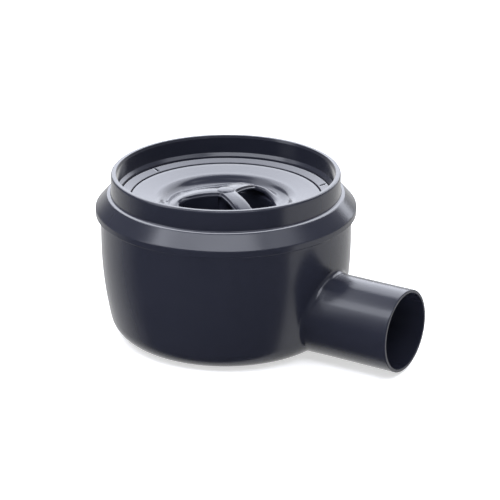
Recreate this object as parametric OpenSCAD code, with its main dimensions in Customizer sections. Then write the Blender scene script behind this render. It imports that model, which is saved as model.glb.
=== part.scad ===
// Gully trap: a floor drain body with a level side outlet and a two-part odour trap that lifts out.
// Origin at the centre of the flat base, on the axis of the bowl. +Z is up and the outlet points along +X.

/* [Bowl] */
// Height from the flat base to the top of the collar
body_h = 102; // [100:0.5:130]
// Outer diameter of the bowl just under the flange
bowl_d = 151.8; // [146:0.2:170]
// Wall thickness of the bowl
bowl_wall = 2.5; // [2:0.1:3]
// Height of the weld between the bowl and the collar above the base
weld_z = 76.9; // [74:0.1:78]
// Height at which the wall starts to curve in
belly_z = 60; // [54:1:66]
// Radius of the long curve of the wall
belly_r = 235; // [180:5:400]
// Radius of the corner between the wall and the base
base_corner_r = 15; // [10:0.5:20]

/* [Outlet] */
// Outer diameter of the outlet spigot
outlet_d = 50; // [40:1:56]
// Wall thickness of the outlet spigot
outlet_wall = 1.9; // [1.5:0.1:2.2]
// Distance from the bowl's axis to the end of the spigot
outlet_reach = 124.8; // [110:0.2:150]
// Height of the underside of the spigot above the base
outlet_lift = 0.4; // [0.2:0.1:4]
// Chamfer round the end of the spigot
outlet_chamfer = 0.6; // [0.2:0.1:1]
// Length of the true round part, which goes into the pipe
outlet_straight = 44.2; // [30:0.2:46]
// Draft of the spigot's root on each side, from the bowl to the round part
outlet_draft = 0.5; // [0.3:0.1:0.8]

/* [Collar] */
// Step from the outside of the bowl in to the outside of the collar
collar_step = 6.7; // [6:0.1:9]
// Wall thickness of the collar round the socket
rim_wall = 3.8; // [3:0.1:4.4]
// Depth of the bore, from the rim to the cone above the trap's pocket
socket_depth = 10.9; // [10:0.1:11.5]
// Height of the cone that leads the trap's seal into its pocket
cone_h = 2.4; // [1.5:0.1:2.8]
// Width of that cone
cone_w = 1; // [0.8:0.1:1.3]
// Height and width of the lead-in inside the rim
lead_in = 1.6; // [0.5:0.1:2]
// Rounding of the rim's outer edge
rim_round = 1.4; // [0.5:0.1:2]
// Distance that the flange stands out from the bowl
flange_out = 3; // [1.5:0.1:6]
// Height of the upright edge of the flange
flange_edge_h = 3.9; // [3:0.1:5]
// Width of the flat land at the foot of the collar
land_w = 2.4; // [1:0.1:3]
// Depth of that land below the rim
land_depth = 12.9; // [12:0.1:15]
// Thickness of the collar's hidden walls
collar_wall = 2.5; // [2:0.1:3]
// Depth of the trap's seat below the rim
seat_depth = 19; // [18:0.1:21]
// Width of the trap's seat
seat_w = 2.4; // [2:0.1:3.7]
// Length of the lip that centres the collar in the bowl
lip_h = 2.5; // [1.5:0.1:4]

/* [Trap] */
// Gap between a trap part and the part that it slides into
slide_gap = 0.6; // [0.4:0.05:0.8]
// Gap left outside a fitted seal ring
seal_gap = 0.25; // [0.2:0.05:0.35]
// Thickness of a seal ring
seal_t = 2.3; // [2:0.1:2.6]
// Play of a seal ring in its groove
groove_play = 0.1; // [0.05:0.05:0.2]
// Wall thickness of the trap parts
trap_wall = 2; // [1.6:0.1:2.4]
// Depth of water that seals the trap
water_seal = 50; // [40:1:52]

/* [Cup] */
// Height of the cup's head ring above its seat
head_h = 4.9; // [4.6:0.1:5.2]
// Fall of the head ring's top towards the funnel
head_fall = 1.4; // [0.5:0.1:2.2]
// Width of the head ring, from its outside to the nest that takes the funnel
head_w = 5.6; // [5:0.1:6.2]
// Depth of the shelf that the funnel stands on below the trap's seat
shelf_drop = 3.5; // [3:0.1:5]
// Width of that shelf
shelf_w = 2.8; // [2.4:0.1:5]
// Step from the nest in to the outside of the cup's rim
cup_step = 12.2; // [10:0.2:16]
// Height of the cup's rim above the base
cup_rim_z = 66; // [62:0.5:67]
// Height of the cup's underside above the base
cup_base_z = 6; // [5:0.5:8]
// Rounding of the cup's lower corner
cup_corner_r = 7; // [4:0.5:10]
// Angle that each strap between head ring and cup spans
strap_angle = 34; // [24:1:44]
// Length of the three marks on the head ring
mark_l = 4.4; // [3:0.1:5]
// Width of the marks
mark_w = 0.9; // [0.6:0.1:1.4]
// Depth of the marks
mark_depth = 0.8; // [0.4:0.1:1]
// Angle of the first mark from the outlet
mark_angle = 47.5; // [0:0.5:119.5]

/* [Funnel] */
// Height of the funnel's rim above its shelf
funnel_rim_h = 6.7; // [6.4:0.1:7.2]
// Width of the flat shoulder round the dish
shoulder_w = 14.1; // [12:0.1:17]
// Fall of the dish's shoulder towards the middle
shoulder_fall = 1.3; // [0.3:0.1:1.6]
// Radius of the dish's roll-over and of the trough that follows it
dish_roll_r = 7; // [5:0.5:8]
// Steepest angle of the dish
dish_angle = 45; // [35:1:50]
// Width of the trough's flat round the mouth of the dip tube
mouth_land = 4.6; // [3:0.1:6]
// Draft of the dip tube on each side, from mouth to end
tube_draft = 1.5; // [0.5:0.1:2]

/* [Grip] */
// Height of the grip's crest above the trough
crest_h = 9.2; // [7:0.1:10.5]
// Distance past the trough at which the crest runs out under the dish
crest_land = 2.4; // [1:0.1:3]
// Angle of the first arm from the outlet
arm_angle = 89; // [0:0.5:119.5]
// Width of each arm
arm_w = 11; // [8:0.5:13]
// Height of the arms' crest above their edges
arm_rise = 1.6; // [1:0.1:2.2]
// Height of the hub above the crest
hub_rise = 0.9; // [0.5:0.1:1.5]
// Thickness of the web, which is the height of the arms' edges
web_t = 1.6; // [1.4:0.1:2.4]
// Rounding of the corners of the three openings
opening_round = 8; // [3:0.5:9]
// Diameter of the stem under the hub
stem_d = 10; // [8:0.5:12]
// Bore of the stem
stem_bore = 6.8; // [5:0.2:7]

/* [Hidden] */
$fn = 96;
bowl_r = bowl_d / 2;
outlet_r = outlet_d / 2;
outlet_z = outlet_lift + outlet_r + outlet_draft;
// The spigot starts inside the bowl, where the bowl's hollow cuts it off.
spigot_x = bowl_r - base_corner_r - outlet_r / 2;
flange_r = bowl_r + flange_out;
collar_r = bowl_r - collar_step;
socket_r = collar_r - rim_wall;
cone_z = body_h - socket_depth;
pocket_r = socket_r - cone_w;
pocket_z = cone_z - cone_h;
seat_z = body_h - seat_depth;
seat_r = pocket_r - seat_w;
flange_top_z = weld_z + flange_edge_h;
land_z = body_h - land_depth;
edge_round = 0.5;
flange_round = 1.2;
foot_round = 0.4;
lip_gap = 0.2;
lip_r = bowl_r - bowl_wall - lip_gap;
lip_wall = 1.7;

head_r = pocket_r - slide_gap;
head_z = seat_z + head_h;
nest_r = head_r - head_w;
nest_wall = 1.7;
nest_z = head_z - head_fall;
shelf_z = seat_z - shelf_drop;
cup_r = nest_r - cup_step;
cup_rim_h = 3;
cup_rim_w = 1;
groove_depth = seal_t + seal_gap - slide_gap + groove_play;
groove_h = seal_t + 2 * groove_play;
// Wall left under each seal's groove.
cup_groove_foot = 0.9;
funnel_groove_foot = 1.4;
cup_seal_z = seat_z + cup_groove_foot + groove_h / 2;
funnel_seal_z = shelf_z + funnel_groove_foot + groove_h / 2;
ARMS = 3;
arm_step = 360 / ARMS;

rim_r = nest_r - slide_gap;
rim_z = shelf_z + funnel_rim_h;
skirt_wall = groove_depth + trap_wall;
dish_shoulder_r = rim_r - shoulder_w;
shoulder_z = rim_z - shoulder_fall;
roll_w = dish_roll_r * sin(dish_angle);
roll_drop = dish_roll_r * (1 - cos(dish_angle));
trough_r = dish_shoulder_r - 2 * roll_w;
trough_z = shoulder_z - 2 * roll_drop;
tube_r = trough_r - mouth_land;
tube_end_z = cup_rim_z - water_seal;
mouth_round = 1;
crest_z = trough_z + crest_h;
web_z = crest_z - arm_rise;
// The crest is an arc from the hub to its run-out, and each arm's crown an arc from edge to edge.
crest_end = trough_r + crest_land;
crest_r = (crest_end * crest_end + crest_h * crest_h) / (2 * crest_h);
web_rise = web_z - trough_z;
web_r = (trough_r * trough_r + web_rise * web_rise) / (2 * web_rise);
arm_r = arm_w / 2;
crown_r = (arm_r * arm_r + arm_rise * arm_rise) / (2 * arm_rise);
hub_r = stem_d / 2 + 0.4;
hub_dome_r = 4 * hub_r;
eps = 0.01;

// Points along an arc about (x, y), from one angle to another.
function arc(x, y, r, from, to, steps) =
    [for (i = [0 : steps]) let (a = from + (to - from) * i / steps) [x + r * cos(a), y + r * sin(a)]];

// The bowl's section, moved inward by inset: base, corner arc, long belly arc, upright wall.
// The corner arc touches the base and runs into the belly arc without a break.
function bowl_section(inset, top) =
    let (
        belly_x = bowl_r - belly_r,
        corner_x = belly_x + sqrt(pow(belly_r - base_corner_r, 2) - pow(belly_z - base_corner_r, 2)),
        tangent = asin((belly_z - base_corner_r) / (belly_r - base_corner_r))
    )
    concat(
        [[0, inset]],
        arc(corner_x, base_corner_r, base_corner_r - inset, -90, -tangent, 14),
        arc(belly_x, belly_z, belly_r - inset, -tangent * 11 / 12, 0, 11),
        [[bowl_r - inset, top], [0, top]]
    );

// Lower shell of the body: a drafted bowl with the outlet spigot level with its floor.
module bowl() {
    color("#3a3d45")
    difference() {
        union() {
            difference() {
                rotate_extrude() polygon(bowl_section(0, weld_z));
                bowl_top_edge();
            }
            spigot_outside();
        }
        rotate_extrude() polygon(bowl_section(bowl_wall, weld_z + 1));
        spigot_bore();
    }
}

// The rounded top edge that leaves a fine seam under the flange.
module bowl_top_edge() {
    rotate_extrude()
        polygon([
            [bowl_r - edge_round, weld_z + eps],
            [bowl_r + 1, weld_z + eps],
            [bowl_r + 1, weld_z - edge_round],
            [bowl_r, weld_z - edge_round]
        ]);
}

// Drafted root, true round part and chamfer, from inside the bowl's wall to the spigot's end.
module spigot_outside() {
    round_x = outlet_reach - outlet_chamfer - outlet_straight;
    translate([0, 0, outlet_z]) rotate([0, 90, 0]) {
        translate([0, 0, spigot_x])
            cylinder(h = round_x - spigot_x, r1 = outlet_r + outlet_draft, r2 = outlet_r);
        translate([0, 0, round_x]) cylinder(h = outlet_straight, r = outlet_r);
        translate([0, 0, round_x + outlet_straight])
            cylinder(h = outlet_chamfer, r1 = outlet_r, r2 = outlet_r - outlet_chamfer);
    }
}

module spigot_bore() {
    translate([spigot_x, 0, outlet_z]) rotate([0, 90, 0])
        cylinder(h = outlet_reach + 1 - spigot_x, r = outlet_r - outlet_wall);
}

// Upper shell of the body, welded to the bowl: flange, trap seat and the socket for the top section.
module collar() {
    slope_r = collar_r + land_w;
    slope = atan2(flange_r - slope_r, land_z - flange_top_z);
    // The hollow under the flange follows the slope, one wall thickness below it.
    core_r = pocket_r + collar_wall;
    core_z = flange_top_z + flange_r / tan(slope) - collar_wall / sin(slope);
    color("#3f424a")
    rotate_extrude()
        polygon(concat(
            [[lip_r, weld_z], [flange_r - edge_round, weld_z], [flange_r, weld_z + edge_round]],
            arc(flange_r - flange_round, flange_top_z - flange_round * tan(slope / 2), flange_round, 0, slope, 4),
            arc(slope_r - flange_round * tan(45 - slope / 2), land_z - flange_round, flange_round, slope, 90, 4),
            [[collar_r + foot_round, land_z], [collar_r, land_z + foot_round]],
            arc(collar_r - rim_round, body_h - rim_round, rim_round, 0, 90, 6),
            [
                [socket_r + lead_in / 2, body_h],
                [socket_r, body_h - lead_in],
                [socket_r, cone_z],
                [pocket_r, pocket_z],
                [pocket_r, seat_z],
                [seat_r, seat_z],
                [seat_r, seat_z - collar_wall],
                [core_r, seat_z - collar_wall],
                [core_r, min(core_z - core_r / tan(slope), land_z - collar_wall)],
                [lip_r - lip_wall, core_z - (lip_r - lip_wall) / tan(slope)],
                [lip_r - lip_wall, weld_z - lip_h],
                [lip_r, weld_z - lip_h]
            ]
        ));
}

// Turns its children to each of three places, the first at the given angle.
module each_arm(first) {
    for (i = [0 : ARMS - 1]) rotate([0, 0, first + i * arm_step]) children();
}

// A groove for a seal ring in a wall whose outside is r, with its middle at z.
module seal_groove(r, z) {
    translate([0, 0, z - groove_h / 2])
        difference() {
            cylinder(h = groove_h, r = r + 1);
            translate([0, 0, -1]) cylinder(h = groove_h + 2, r = r - groove_depth);
        }
}

// A seal ring as it sits in its groove, inside a bore of radius r.
module seal_ring(r, z) {
    translate([0, 0, z])
        rotate_extrude() translate([r - seal_gap - seal_t / 2, 0]) circle(d = seal_t, $fn = 32);
}

// Outer trap part: a head ring on the body's seat, three straps and the cup that holds the water.
module trap_cup() {
    color("#464950")
    difference() {
        union() {
            rotate_extrude() polygon(head_section());
            rotate_extrude() polygon(cup_section());
            straps();
        }
        seal_groove(head_r, cup_seal_z);
        each_arm(mark_angle) head_mark();
    }
}

function head_section() = [
    [head_r, seat_z],
    [head_r, head_z - edge_round],
    [head_r - edge_round, head_z],
    [nest_r + edge_round, nest_z],
    [nest_r, nest_z - edge_round],
    [nest_r, shelf_z],
    [nest_r - shelf_w, shelf_z],
    [nest_r - shelf_w, shelf_z - trap_wall],
    [nest_r + nest_wall, shelf_z - trap_wall],
    [nest_r + nest_wall, seat_z]
];

function cup_section() = concat(
    [[0, cup_base_z]],
    arc(cup_r - cup_rim_w - cup_corner_r, cup_base_z + cup_corner_r, cup_corner_r, -90, 0, 9),
    [
        [cup_r - cup_rim_w, cup_rim_z - cup_rim_h - cup_rim_w],
        [cup_r, cup_rim_z - cup_rim_h],
        [cup_r, cup_rim_z - edge_round],
        [cup_r - edge_round, cup_rim_z],
        [cup_r - cup_rim_w - trap_wall, cup_rim_z]
    ],
    arc(cup_r - cup_rim_w - cup_corner_r, cup_base_z + cup_corner_r, cup_corner_r - trap_wall, 0, -90, 9),
    [[0, cup_base_z + trap_wall]]
);

// Three straps slope from the head ring's shelf down to the cup's rim, under the marks.
module straps() {
    top_r = nest_r - shelf_w / 2;
    low_r = cup_r - cup_rim_w / 2;
    top_z = shelf_z - trap_wall / 2;
    low_z = cup_rim_z - cup_rim_h / 2;
    each_arm(mark_angle)
        rotate([0, 0, -strap_angle / 2])
            rotate_extrude(angle = strap_angle)
                polygon([
                    [low_r - trap_wall, low_z],
                    [low_r, low_z - trap_wall],
                    [top_r + trap_wall / 2, top_z - trap_wall],
                    [top_r + trap_wall / 2, top_z],
                    [top_r - trap_wall, top_z]
                ]);
}

module head_mark() {
    middle = (head_r + nest_r) / 2;
    translate([middle - mark_l / 2, -mark_w / 2, nest_z + head_fall / 2 - mark_depth])
        cube([mark_l, mark_w, head_fall + mark_depth]);
}

module cup_seal() {
    color("#1c1d20") seal_ring(pocket_r, cup_seal_z);
}

// Inner trap part: a dish, the three-arm grip over its three openings, a centre stem and the dip tube.
module funnel() {
    color("#4a4d55")
    difference() {
        union() {
            rotate_extrude() polygon(funnel_section());
            grip();
        }
        seal_groove(rim_r, funnel_seal_z);
        translate([0, 0, tube_end_z - 1])
            cylinder(h = web_z - web_t - tube_end_z, d = stem_bore);
    }
}

// The dish's upper line from the rim to the dip tube, and the wall that follows it underneath.
function funnel_section() = concat(
    [
        [rim_r, shelf_z],
        [rim_r, rim_z - edge_round],
        [rim_r - edge_round, rim_z]
    ],
    arc(dish_shoulder_r, shoulder_z - dish_roll_r, dish_roll_r, 90, 90 + dish_angle, 6),
    arc(trough_r, trough_z + dish_roll_r, dish_roll_r, dish_angle - 90, -90, 6),
    arc(tube_r + mouth_round, trough_z - mouth_round, mouth_round, 90, 180, 4),
    [
        [tube_r - tube_draft, tube_end_z],
        [tube_r - tube_draft + trap_wall, tube_end_z],
        [tube_r + trap_wall, trough_z - trap_wall]
    ],
    arc(trough_r, trough_z + dish_roll_r, dish_roll_r + trap_wall, -90, dish_angle - 90, 6),
    arc(dish_shoulder_r, shoulder_z - dish_roll_r, dish_roll_r - trap_wall, 90 + dish_angle, 90, 6),
    [
        [rim_r - skirt_wall, rim_z - trap_wall],
        [rim_r - skirt_wall, shelf_z]
    ]
);

// A domed web with three rounded openings, a crowned bow along each arm, the hub and the stem.
module grip() {
    difference() {
        web();
        translate([0, 0, tube_end_z]) linear_extrude(body_h) openings();
    }
    each_arm(arm_angle) arm();
    hub();
    translate([0, 0, tube_end_z]) cylinder(h = web_z - web_t / 2 - tube_end_z, d = stem_d);
}

// A cap of a sphere through the trough and the hub, one web thick.
module web() {
    intersection() {
        translate([0, 0, web_z - web_r])
            difference() {
                sphere(r = web_r);
                sphere(r = web_r - web_t);
            }
        translate([0, 0, trough_z - web_t]) cylinder(h = 2 * crest_h, r = trough_r);
    }
}

// Three rounded sectors between the arms.
module openings() {
    offset(r = opening_round, $fn = 48) offset(delta = -opening_round)
        difference() {
            circle(r = tube_r + mouth_round);
            each_arm(arm_angle) translate([0, -arm_r]) square([2 * trough_r, arm_w]);
        }
}

// One arm, from inside the hub: a crown swept along the crest's arc, sunk in the web by half of it.
module arm() {
    reach = asin(crest_end / crest_r);
    start = asin(hub_r / 2 / crest_r);
    difference() {
        intersection() {
            translate([0, 0, crest_z - crest_r])
                rotate([90, 0, 0])
                    rotate([0, 0, 90 - reach])
                        rotate_extrude(angle = reach - start)
                            translate([crest_r - crown_r, 0]) circle(r = crown_r);
            translate([0, -arm_r, trough_z - trap_wall / 2]) cube([crest_end, arm_w, 2 * crest_h]);
        }
        translate([0, 0, web_z - web_r]) sphere(r = web_r - web_t / 2);
    }
}

module hub() {
    hub_z = crest_z + hub_rise;
    intersection() {
        translate([0, 0, web_z - web_t]) cylinder(h = 2 * crest_h, r = hub_r);
        translate([0, 0, hub_z - hub_dome_r]) sphere(r = hub_dome_r);
    }
}

module funnel_seal() {
    color("#1c1d20") seal_ring(nest_r, funnel_seal_z);
}

bowl();
collar();
trap_cup();
cup_seal();
funnel();
funnel_seal();
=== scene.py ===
"""Gully trap: a moulded plastic floor drain with a lift-out odour trap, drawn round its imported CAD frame."""

import math

import bmesh
import bpy
import numpy as np
from bpy.props import FloatProperty, PointerProperty, StringProperty
from mathutils import Matrix, Vector


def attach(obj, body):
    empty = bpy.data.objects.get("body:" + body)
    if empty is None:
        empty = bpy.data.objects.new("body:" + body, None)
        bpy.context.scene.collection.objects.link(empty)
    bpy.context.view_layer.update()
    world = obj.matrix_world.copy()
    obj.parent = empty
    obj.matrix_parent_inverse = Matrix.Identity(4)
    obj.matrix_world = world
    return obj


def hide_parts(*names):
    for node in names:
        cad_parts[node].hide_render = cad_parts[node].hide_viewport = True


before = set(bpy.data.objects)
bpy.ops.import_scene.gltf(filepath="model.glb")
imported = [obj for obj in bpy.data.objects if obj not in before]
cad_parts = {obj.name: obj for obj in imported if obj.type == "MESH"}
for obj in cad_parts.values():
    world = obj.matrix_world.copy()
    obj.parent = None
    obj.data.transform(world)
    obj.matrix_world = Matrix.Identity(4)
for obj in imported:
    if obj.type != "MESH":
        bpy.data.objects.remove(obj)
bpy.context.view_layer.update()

bl_info = {
    "name": "Gully Trap",
    "version": (1, 0, 0),
    "blender": (4, 5, 0),
    "location": "View3D > Sidebar > Gully Trap",
    "description": "Draws the body, the trap and the seals of a plastic gully trap",
    "category": "Add Mesh",
}

MM = 0.001  # metres in a millimetre
ARC_STEP = 0.19  # radians between two points of a rounded corner


# ---------------------------------------------------------------- sizes and colours


class GULLY_PG_body(bpy.types.PropertyGroup):
    """Sizes of the bowl, its spigot and the collar, in millimetres."""

    height: FloatProperty(name="Height", description="From the flat base to the rim", default=102.0)
    bowl_r: FloatProperty(name="Bowl radius", description="Outside, just under the flange", default=75.9)
    bowl_wall: FloatProperty(name="Bowl wall", description="Wall thickness of the bowl", default=2.5)
    weld_z: FloatProperty(
        name="Weld height", description="Height of the seam between bowl and collar", default=76.9
    )
    belly_z: FloatProperty(
        name="Belly height", description="Height at which the wall starts to curve in", default=60.0
    )
    belly_r: FloatProperty(
        name="Belly radius", description="Radius of the long curve of the wall", default=235.0
    )
    corner_r: FloatProperty(name="Corner radius", description="Radius between wall and base", default=15.0)
    spigot_r: FloatProperty(
        name="Spigot radius", description="Outside radius of the outlet spigot", default=25.0
    )
    spigot_root_r: FloatProperty(
        name="Root radius", description="Outside radius where it meets the bowl", default=25.2
    )
    spigot_wall: FloatProperty(name="Spigot wall", description="Wall thickness of the spigot", default=1.9)
    spigot_z: FloatProperty(name="Spigot height", description="Height of the spigot's axis", default=25.9)
    spigot_end: FloatProperty(name="Spigot reach", description="From the bowl's axis to the end", default=124.8)
    spigot_round: FloatProperty(
        name="Round part", description="Where the drafted root becomes round", default=80.0
    )
    spigot_fillet: FloatProperty(name="Root fillet", description="Radius between spigot and bowl", default=3.0)
    flange_r: FloatProperty(name="Flange radius", description="Outer radius of the flange", default=78.9)
    flange_top: FloatProperty(
        name="Flange edge top", description="Height of the flange's upper edge", default=80.8
    )
    collar_r: FloatProperty(name="Collar radius", description="Outer radius of the collar", default=69.2)
    land_w: FloatProperty(name="Land width", description="Flat land at the collar's foot", default=2.4)
    land_z: FloatProperty(name="Land height", description="Height of that land", default=89.1)
    socket_r: FloatProperty(
        name="Socket radius", description="Bore of the socket for the top section", default=65.4
    )
    cone_z: FloatProperty(
        name="Cone height", description="Top of the cone that leads into the pocket", default=91.1
    )
    pocket_r: FloatProperty(name="Pocket radius", description="Bore of the trap's pocket", default=64.4)
    pocket_z: FloatProperty(name="Pocket height", description="Top of the pocket", default=88.7)
    seat_r: FloatProperty(name="Seat radius", description="Inner radius of the trap's seat", default=62.0)
    seat_z: FloatProperty(name="Seat height", description="Height of the trap's seat", default=83.0)


class GULLY_PG_trap(bpy.types.PropertyGroup):
    """Sizes of the cup, the funnel and the grip, in millimetres."""

    wall: FloatProperty(name="Wall", description="Wall thickness of the trap parts", default=2.0)
    head_r: FloatProperty(name="Head radius", description="Outside of the cup's head ring", default=63.8)
    head_z: FloatProperty(name="Head height", description="Top of the head ring", default=87.9)
    nest_r: FloatProperty(name="Nest radius", description="Bore that takes the funnel", default=58.2)
    nest_z: FloatProperty(name="Nest height", description="Head ring's top at the nest", default=86.5)
    shelf_z: FloatProperty(name="Shelf height", description="Shelf that the funnel stands on", default=79.5)
    shelf_r: FloatProperty(name="Shelf radius", description="Inner radius of that shelf", default=55.4)
    cup_r: FloatProperty(name="Cup radius", description="Outside of the cup's rim", default=46.0)
    cup_top: FloatProperty(name="Cup rim height", description="Height of the cup's rim", default=66.0)
    cup_base: FloatProperty(name="Cup base height", description="Height of the cup's underside", default=6.0)
    cup_corner: FloatProperty(name="Cup corner", description="Rounding of the cup's lower corner", default=7.0)
    strap_angle: FloatProperty(
        name="Strap angle", description="Angle that each strap spans, in degrees", default=34.0
    )
    mark_angle: FloatProperty(
        name="Mark angle", description="First mark, in degrees from the outlet", default=47.5
    )
    mark_l: FloatProperty(name="Mark length", description="Length of each mark", default=3.6)
    mark_w: FloatProperty(name="Mark width", description="Width of each mark", default=0.9)
    mark_depth: FloatProperty(name="Mark depth", description="Depth of each mark", default=0.8)
    groove_depth: FloatProperty(name="Groove depth", description="Depth of a seal's groove", default=2.05)
    groove_h: FloatProperty(name="Groove height", description="Height of a seal's groove", default=2.5)
    cup_seal_z: FloatProperty(name="Cup seal height", description="Middle of the cup's seal", default=85.15)
    funnel_seal_z: FloatProperty(
        name="Funnel seal height", description="Middle of the funnel's seal", default=82.15
    )
    seal_t: FloatProperty(name="Seal thickness", description="Thickness of a seal ring", default=2.3)
    seal_gap: FloatProperty(name="Seal gap", description="Gap left outside a seal ring", default=0.25)
    rim_r: FloatProperty(name="Funnel radius", description="Outside of the funnel", default=57.6)
    rim_z: FloatProperty(name="Funnel rim height", description="Top of the funnel's rim", default=86.2)
    shoulder_r: FloatProperty(name="Shoulder radius", description="Where the dish rolls over", default=43.5)
    shoulder_z: FloatProperty(name="Shoulder height", description="Height of the dish's shoulder", default=84.9)
    roll_r: FloatProperty(name="Roll radius", description="Radius of the dish's roll-over", default=7.0)
    dish_angle: FloatProperty(
        name="Dish angle", description="Steepest angle of the dish, in degrees", default=45.0
    )
    trough_r: FloatProperty(name="Trough radius", description="Where the dish reaches its trough", default=33.6)
    trough_z: FloatProperty(name="Trough height", description="Height of the trough", default=80.8)
    tube_r: FloatProperty(name="Dip tube radius", description="Bore of the dip tube at its mouth", default=29.0)
    tube_end: FloatProperty(name="Dip tube end", description="Height of the dip tube's lower end", default=16.0)
    tube_draft: FloatProperty(name="Dip tube draft", description="Draft on each side", default=1.5)
    mouth: FloatProperty(
        name="Mouth rounding", description="Where the trough rolls into the dip tube", default=3.0
    )
    crest_z: FloatProperty(name="Crest height", description="Top of the arms at the hub", default=90.0)
    crest_end: FloatProperty(
        name="Crest end", description="Radius at which an arm runs out in the dish", default=36.0
    )
    hub_r: FloatProperty(name="Hub radius", description="Radius of the hub above the arms", default=5.4)
    hub_rise: FloatProperty(name="Hub rise", description="Height of the hub above the arms", default=0.9)
    web_t: FloatProperty(name="Web", description="Thickness of the grip's web", default=1.6)
    arm_r: FloatProperty(name="Arm half width", description="Half the width of each arm", default=5.5)
    crown_w: FloatProperty(
        name="Crown width", description="From an opening to the level top of an arm", default=4.5
    )
    crown_drop: FloatProperty(name="Crown drop", description="Fall of an arm's crown on each side", default=0.4)
    lip_drop: FloatProperty(name="Lip drop", description="Height of the small step at an opening", default=1.2)
    arm_angle: FloatProperty(
        name="Arm angle", description="First arm, in degrees from the outlet", default=89.0
    )
    opening_round: FloatProperty(
        name="Opening rounding", description="Rounded corners of the openings", default=3.5
    )
    stem_r: FloatProperty(name="Stem radius", description="Outside of the stem under the hub", default=5.0)
    stem_bore: FloatProperty(name="Stem bore", description="Radius of the stem's bore", default=3.4)


class GULLY_PG_finish(bpy.types.PropertyGroup):
    """Colours of the two plastics, the rubber and the floor, as sRGB hex."""

    body: StringProperty(name="Body plastic", description="Anthracite polypropylene", default="#2b2d39")
    trap: StringProperty(
        name="Trap plastic", description="Anthracite polypropylene of the trap", default="#2d2f3b"
    )
    rubber: StringProperty(name="Seal rubber", description="Black EPDM rubber", default="#151617")
    floor: StringProperty(name="Floor", description="Pale studio floor", default="#f4f4f4")


def body_sizes():
    """The bowl's and collar's sizes in mm."""
    return bpy.context.scene.gully_body


def trap_sizes():
    """The trap's sizes in mm."""
    return bpy.context.scene.gully_trap


# ---------------------------------------------------------------- lines and surfaces


def arc(x, y, r, start, stop, steps):
    """Points (x + r cos a, y + r sin a) with a from start to stop, in degrees."""
    a = np.radians(np.linspace(start, stop, steps + 1))
    return np.column_stack([x + r * np.cos(a), y + r * np.sin(a)])


def rounded(corners, closed=True):
    """A line through corners (r, z, radius): each corner is an arc that touches both its edges."""
    c = np.array(corners, float)
    p, rad = c[:, :2], c[:, 2]
    before, after = np.roll(p, 1, 0) - p, np.roll(p, -1, 0) - p
    lb, la = np.linalg.norm(before, axis=1), np.linalg.norm(after, axis=1)
    ub, ua = before / lb[:, None], after / la[:, None]
    half = np.arccos(np.clip((ub * ua).sum(1), -1, 1)) / 2
    reach = rad / np.tan(half)
    line = []
    for i in range(len(p)):
        if not closed and i in (0, len(p) - 1) or rad[i] == 0:
            line.append(p[i][None])
            continue
        bisector = ub[i] + ua[i]
        centre = p[i] + bisector / np.linalg.norm(bisector) * rad[i] / math.sin(half[i])
        first, last = p[i] + ub[i] * reach[i] - centre, p[i] + ua[i] * reach[i] - centre
        turn = math.pi - 2 * half[i]
        sign = math.copysign(1, first[0] * last[1] - first[1] * last[0])
        a = math.atan2(first[1], first[0]) + sign * np.linspace(0, turn, max(3, int(turn / ARC_STEP)) + 1)
        line.append(centre + rad[i] * np.column_stack([np.cos(a), np.sin(a)]))
    return np.vstack(line)


def supported(line, closed=True, gap=0.15, longest=6.0):
    """The same line with points close to both ends of each long edge and along it, so shading stays true."""
    ends = np.roll(line, -1, 0) if closed else line[1:]
    out = []
    for a, b in zip(line, ends):
        length = np.linalg.norm(b - a)
        if length > 4 * gap:
            inner = np.linspace(gap, length - gap, max(1, int(length / longest)) + 1)
            t = np.concatenate([[0], inner]) / length
        else:
            t = np.array([0.0])
        out.append(a + t[:, None] * (b - a))
    if not closed:
        out.append(line[-1:])
    return np.vstack(out)


def turned(line, angles):
    """Grid of the line (r, z) turned about Z: (r cos a, r sin a, z) for each angle a in radians."""
    r, z = line[:, 0][:, None], line[:, 1][:, None]
    return np.stack([r * np.cos(angles), r * np.sin(angles), np.broadcast_to(z, (len(line), len(angles)))], -1)


def round_angles(columns):
    """Evenly spread angles of a full turn, the last one short of the first."""
    return np.linspace(0, 2 * np.pi, columns, endpoint=False)


def quads(grid, close_rows=False, close_columns=False):
    """Vertices and four-sided faces of a grid of points (rows, columns, 3), joined end to end where closed."""
    rows, columns = grid.shape[:2]
    i = np.arange(rows if close_rows else rows - 1)[:, None]
    j = np.arange(columns if close_columns else columns - 1)[None]
    i2, j2 = (i + 1) % rows, (j + 1) % columns
    faces = np.stack([i * columns + j, i * columns + j2, i2 * columns + j2, i2 * columns + j], -1)
    return grid.reshape(-1, 3), faces.reshape(-1, 4)


def ring(line, columns=288):
    """Closed surface of a closed line turned right round."""
    return quads(turned(line, round_angles(columns)), close_rows=True, close_columns=True)


def add_piece(name, surfaces, body, material, nodes=(), sharp=35):
    """One object from a list of surfaces in mm, merged, with outward faces, riding on its body."""
    points, faces, start = [], [], 0
    for v, f in surfaces:
        points.append(v)
        faces.append(f + start)
        start += len(v)
    mesh = bpy.data.meshes.new(name)
    mesh.from_pydata(np.concatenate(points) * MM, [], np.concatenate(faces).tolist())
    bm = bmesh.new()
    bm.from_mesh(mesh)
    bmesh.ops.remove_doubles(bm, verts=bm.verts, dist=2e-6)
    bmesh.ops.recalc_face_normals(bm, faces=bm.faces)
    bm.to_mesh(mesh)
    bm.free()
    mesh.shade_smooth()
    mesh.set_sharp_from_angle(angle=math.radians(sharp))
    piece = bpy.data.objects.new(name, mesh)
    bpy.context.scene.collection.objects.link(piece)
    mesh.materials.append(material)
    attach(piece, body)
    if nodes:
        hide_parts(*nodes)
    return piece


# ---------------------------------------------------------------- bowl


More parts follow.
